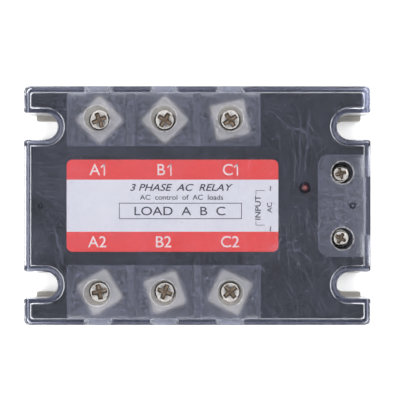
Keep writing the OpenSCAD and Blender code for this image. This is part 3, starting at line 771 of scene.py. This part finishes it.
def hex_nut(flat, height, hole):
    """Hexagon nut: the outline at angle t is the hexagon's, cut back to a circle near both faces, which
    leaves the usual curved chamfers."""
    sides = 72
    t = np.linspace(0, 2 * np.pi, sides, endpoint=False)
    hexagon = flat / 2 / np.cos((t + np.pi / 6) % (np.pi / 3) - np.pi / 6)
    rings = []
    for z, limit in ((0.0, 0.97), (0.25, 1.05), (0.55, 1.2), (height - 0.55, 1.2), (height - 0.25, 1.05),
                     (height, 0.97)):
        r = np.minimum(hexagon, flat / 2 * limit)
        rings.append(np.stack([r * np.cos(t), r * np.sin(t), np.full(sides, z)], -1))
    for z, grow in ((height, 1.12), (height - 0.3, 1.0), (0.3, 1.0), (0.0, 1.12)):
        r = np.full(sides, hole * grow)
        rings.append(np.stack([r * np.cos(t), r * np.sin(t), np.full(sides, z)], -1))
    return np.vstack(rings), grid_faces(len(rings), sides, True)


def flat_washer(rim, hole, height, sides=64):
    """A flat ring: its section of (radius, height), eased along the outer edges, carried round the z axis."""
    section = np.array([(hole, 0.0), (rim - 0.1, 0.0), (rim, 0.12), (rim, height - 0.2),
                        (rim - 0.12, height - 0.03), (rim - 0.3, height), (hole, height)])
    t = np.linspace(0, 2 * np.pi, sides, endpoint=False)
    points = np.stack([section[:, :1] * np.cos(t), section[:, :1] * np.sin(t),
                       np.broadcast_to(section[:, 1:], (len(section), sides))], -1).reshape(-1, 3)
    return points, grid_faces(len(section), sides, True)


# Thread radius, pitch, width across the cross recess, depth of the recess
POWER_SCREW = (2.0, 0.7, 4.7, 1.35)
INPUT_SCREW = (1.5, 0.5, 3.5, 1.05)
CLAMP_SIDE, CLAMP_CORNER, CLAMP_HOLE = 11.0, 1.0, 2.2
WASHER_HOLE = 1.7
HEAD_TURN = {"a1": 22, "b1": 58, "c1": 33, "a2": 12, "b2": 70, "c2": 40, "1": 15, "2": 62}
CLAMP_TURN = {"a1": 45, "b1": 45, "c1": 12, "a2": 31, "b2": 19, "c2": -26}
for name in POWER:
    cx, cy, _ = middle("screw_" + name)
    clamp_lo, clamp_hi = span("clamp_" + name)
    screw("power_screw_" + name, "screw_" + name, clamp_hi[2], POWER_SCREW, HEAD_TURN[name],
          "screw_body_" + name)
    clamp = square_plate(CLAMP_SIDE, CLAMP_CORNER, clamp_hi[2] - clamp_lo[2], CLAMP_HOLE)
    put("clamp_plate_" + name, *spun(clamp, CLAMP_TURN[name], (cx, cy, clamp_lo[2])), CLAMP_STEEL,
        "clamp_body_" + name, replaces=["clamp_" + name])
    copy_of("terminal_" + name, "terminal_strip_" + name, COPPER, 0.12)

for k in "12":
    washer_lo, washer_hi = span("control_washer_" + k)
    cx, cy, _ = middle("control_screw_" + k)
    screw("input_screw_" + k, "control_screw_" + k, washer_hi[2], INPUT_SCREW, HEAD_TURN[k],
          "control_screw_body_" + k)
    washer = flat_washer((washer_hi[0] - washer_lo[0]) / 2, WASHER_HOLE, washer_hi[2] - washer_lo[2])
    put("input_washer_" + k, *spun(washer, 0, (cx, cy, washer_lo[2])), WASHER_STEEL, "washer_body_" + k,
        replaces=["control_washer_" + k])
    copy_of("control_tab_" + k, "input_tab_" + k, INPUT_STRIP_SHADE, 0.1)

# Captive nuts: piece, node, the screws they are under, width across flats, hole radius
for piece, node, screws, flat, hole in (
        ("captive_nuts", "power_nuts", ["screw_" + name for name in POWER], 7.0, 2.05),
        ("input_nuts", "control_nuts", ["control_screw_1", "control_screw_2"], 5.49, 1.55)):
    low, high = span(node)
    nuts = [spun(hex_nut(flat, high[2] - low[2], hole), 0, (*middle(above)[:2], low[2])) for above in screws]
    put(piece, *joined(*nuts), SCREW_STEEL, replaces=[node])
copy_of("fixing_screws", "fixing_screws_steel", SCREW_STEEL, 0.06)


# ---------------------------------------------------------------- indicator and electronics

LED_R, LED_RIM_R, LED_LENGTH, LED_RIM = 1.5, 1.9, 4.6, 0.9
LEG_R, LEG_OUT = 0.24, 1.1
low, high = span("led")
cx, cy, _ = middle("led")
foot_z, dome_z = high[2] - LED_LENGTH, high[2] - LED_R
lens_profile = [(1.0, foot_z), (LED_RIM_R, foot_z), (LED_RIM_R, foot_z + LED_RIM),
                (LED_R, foot_z + LED_RIM + 0.1), (LED_R, dome_z)]
lens_profile += [(LED_R * math.cos(a), dome_z + LED_R * math.sin(a)) for a in np.linspace(0.1, 1.52, 12)]
legs = [turned([(LEG_R, low[2]), (LEG_R, foot_z + 0.1)], 8, (cx, cy + way * LEG_OUT, 0)) for way in (-1, 1)]
put("indicator", *joined(turned(lens_profile, 40, (cx, cy, 0)), *legs), LENS, replaces=["led"])

copy_of("control_board", "board", BOARD, 0.08)
for p in PHASES:
    copy_of("substrate_" + p, "tile_" + p, TILE, 0.05)
    copy_of("optocoupler_" + p, "coupler_" + p, PACKAGE, 0.12)
    copy_of("snubber_capacitor_" + p, "film_capacitor_" + p, FILM_BOX, 0.5, sides=3)
    copy_of("snubber_resistor_" + p, "resistor_" + p, RESISTOR, 0.1)
    copy_of("varistor_" + p, "dipped_disc_" + p, VARISTOR, 1.2, sides=4)
for name in POWER:
    copy_of("thyristor_" + name, "chip_" + name, CHIP, 0.06)
copy_of("input_rectifier", "rectifier", PACKAGE, 0.12)
copy_of("input_capacitor", "input_can", CAN, 0.2)
copy_of("gate_pins", "gate_wires", COPPER, 0.05)


# ---------------------------------------------------------------- floor, light and camera

def pale_floor():
    """Nearly white board with a very slow drift of tone."""
    f = Finish("pale floor")
    cloud = f.noise(0.004, 3.0)
    base = f.blend(cloud, (0.93, 0.93, 0.935), (0.96, 0.96, 0.965))
    return f.done(f.surface(Base_Color=base, Roughness=cloud * 0.1 + 0.6, Emission_Color=(1, 1, 1),
                            Emission_Strength=0.25))


FLOOR_HALF = 3.0                       # metres
floor_mesh = bpy.data.meshes.new("floor")
floor_corners = [(x * FLOOR_HALF, y * FLOOR_HALF, 0) for x, y in ((-1, -1), (1, -1), (1, 1), (-1, 1))]
floor_mesh.from_pydata(floor_corners, [], [(0, 1, 2, 3)])
floor_mesh.materials.append(pale_floor())
floor = bpy.data.objects.new("floor", floor_mesh)
bpy.context.scene.collection.objects.link(floor)


TENT, OVERHEAD = 1.55, 0.09            # brightness of the tent and of the patch above


def studio():
    """White tent all round with a dim patch straight above, where the camera looks in."""
    world = bpy.data.worlds.new("studio")
    bpy.context.scene.world = world
    world.use_nodes = True
    tree = world.node_tree
    way = tree.nodes.new("ShaderNodeTexCoord")
    split = tree.nodes.new("ShaderNodeSeparateXYZ")
    fade = tree.nodes.new("ShaderNodeMapRange")
    tree.links.new(way.outputs["Object"], split.inputs[0])
    tree.links.new(split.outputs["Z"], fade.inputs["Value"])
    for key, value in {"From Min": 0.94, "From Max": 0.985, "To Min": TENT, "To Max": OVERHEAD}.items():
        fade.inputs[key].default_value = value
    background = tree.nodes["Background"]
    background.inputs["Color"].default_value = (0.97, 0.98, 1.0, 1)
    tree.links.new(fade.outputs[0], background.inputs["Strength"])


studio()


def soft_light(name, place, size, watts, aim=(0, 0, 0.02)):
    """A rectangular light at a place in metres, facing the relay."""
    light = bpy.data.lights.new(name, "AREA")
    light.shape = "RECTANGLE"
    light.size, light.size_y = size
    light.energy = watts
    lamp = bpy.data.objects.new(name, light)
    lamp.location = place
    lamp.rotation_euler = (Vector(aim) - Vector(place)).to_track_quat("-Z", "Y").to_euler()
    bpy.context.scene.collection.objects.link(lamp)


soft_light("left box", (-0.75, -0.25, 0.55), (0.5, 0.5), 4.5)
soft_light("right box", (0.75, 0.35, 0.6), (0.5, 0.5), 4.0)

# Straight down from 600 mm above the cover. The lens axis passes a little beside the middle of the picture,
# so the sensor is shifted to keep the relay in place.
MIDDLE = (0.82, 1.71)
AXIS = (8.0, -5.0)
FRAME_WIDTH = 121.2                    # what the picture spans at the cover's top
DISTANCE = 600.0
lens = bpy.data.cameras.new("camera")
lens.sensor_width = 36.0
lens.lens = lens.sensor_width * DISTANCE / FRAME_WIDTH
lens.shift_x = (MIDDLE[0] - AXIS[0]) / FRAME_WIDTH
lens.shift_y = (MIDDLE[1] - AXIS[1]) / FRAME_WIDTH
lens.clip_end = 20.0
camera = bpy.data.objects.new("camera", lens)
camera.location = (AXIS[0] * MM, AXIS[1] * MM, (cover_hi[2] + DISTANCE) * MM)
bpy.context.scene.collection.objects.link(camera)
bpy.context.scene.camera = camera
bpy.context.scene.view_settings.view_transform = "Standard"
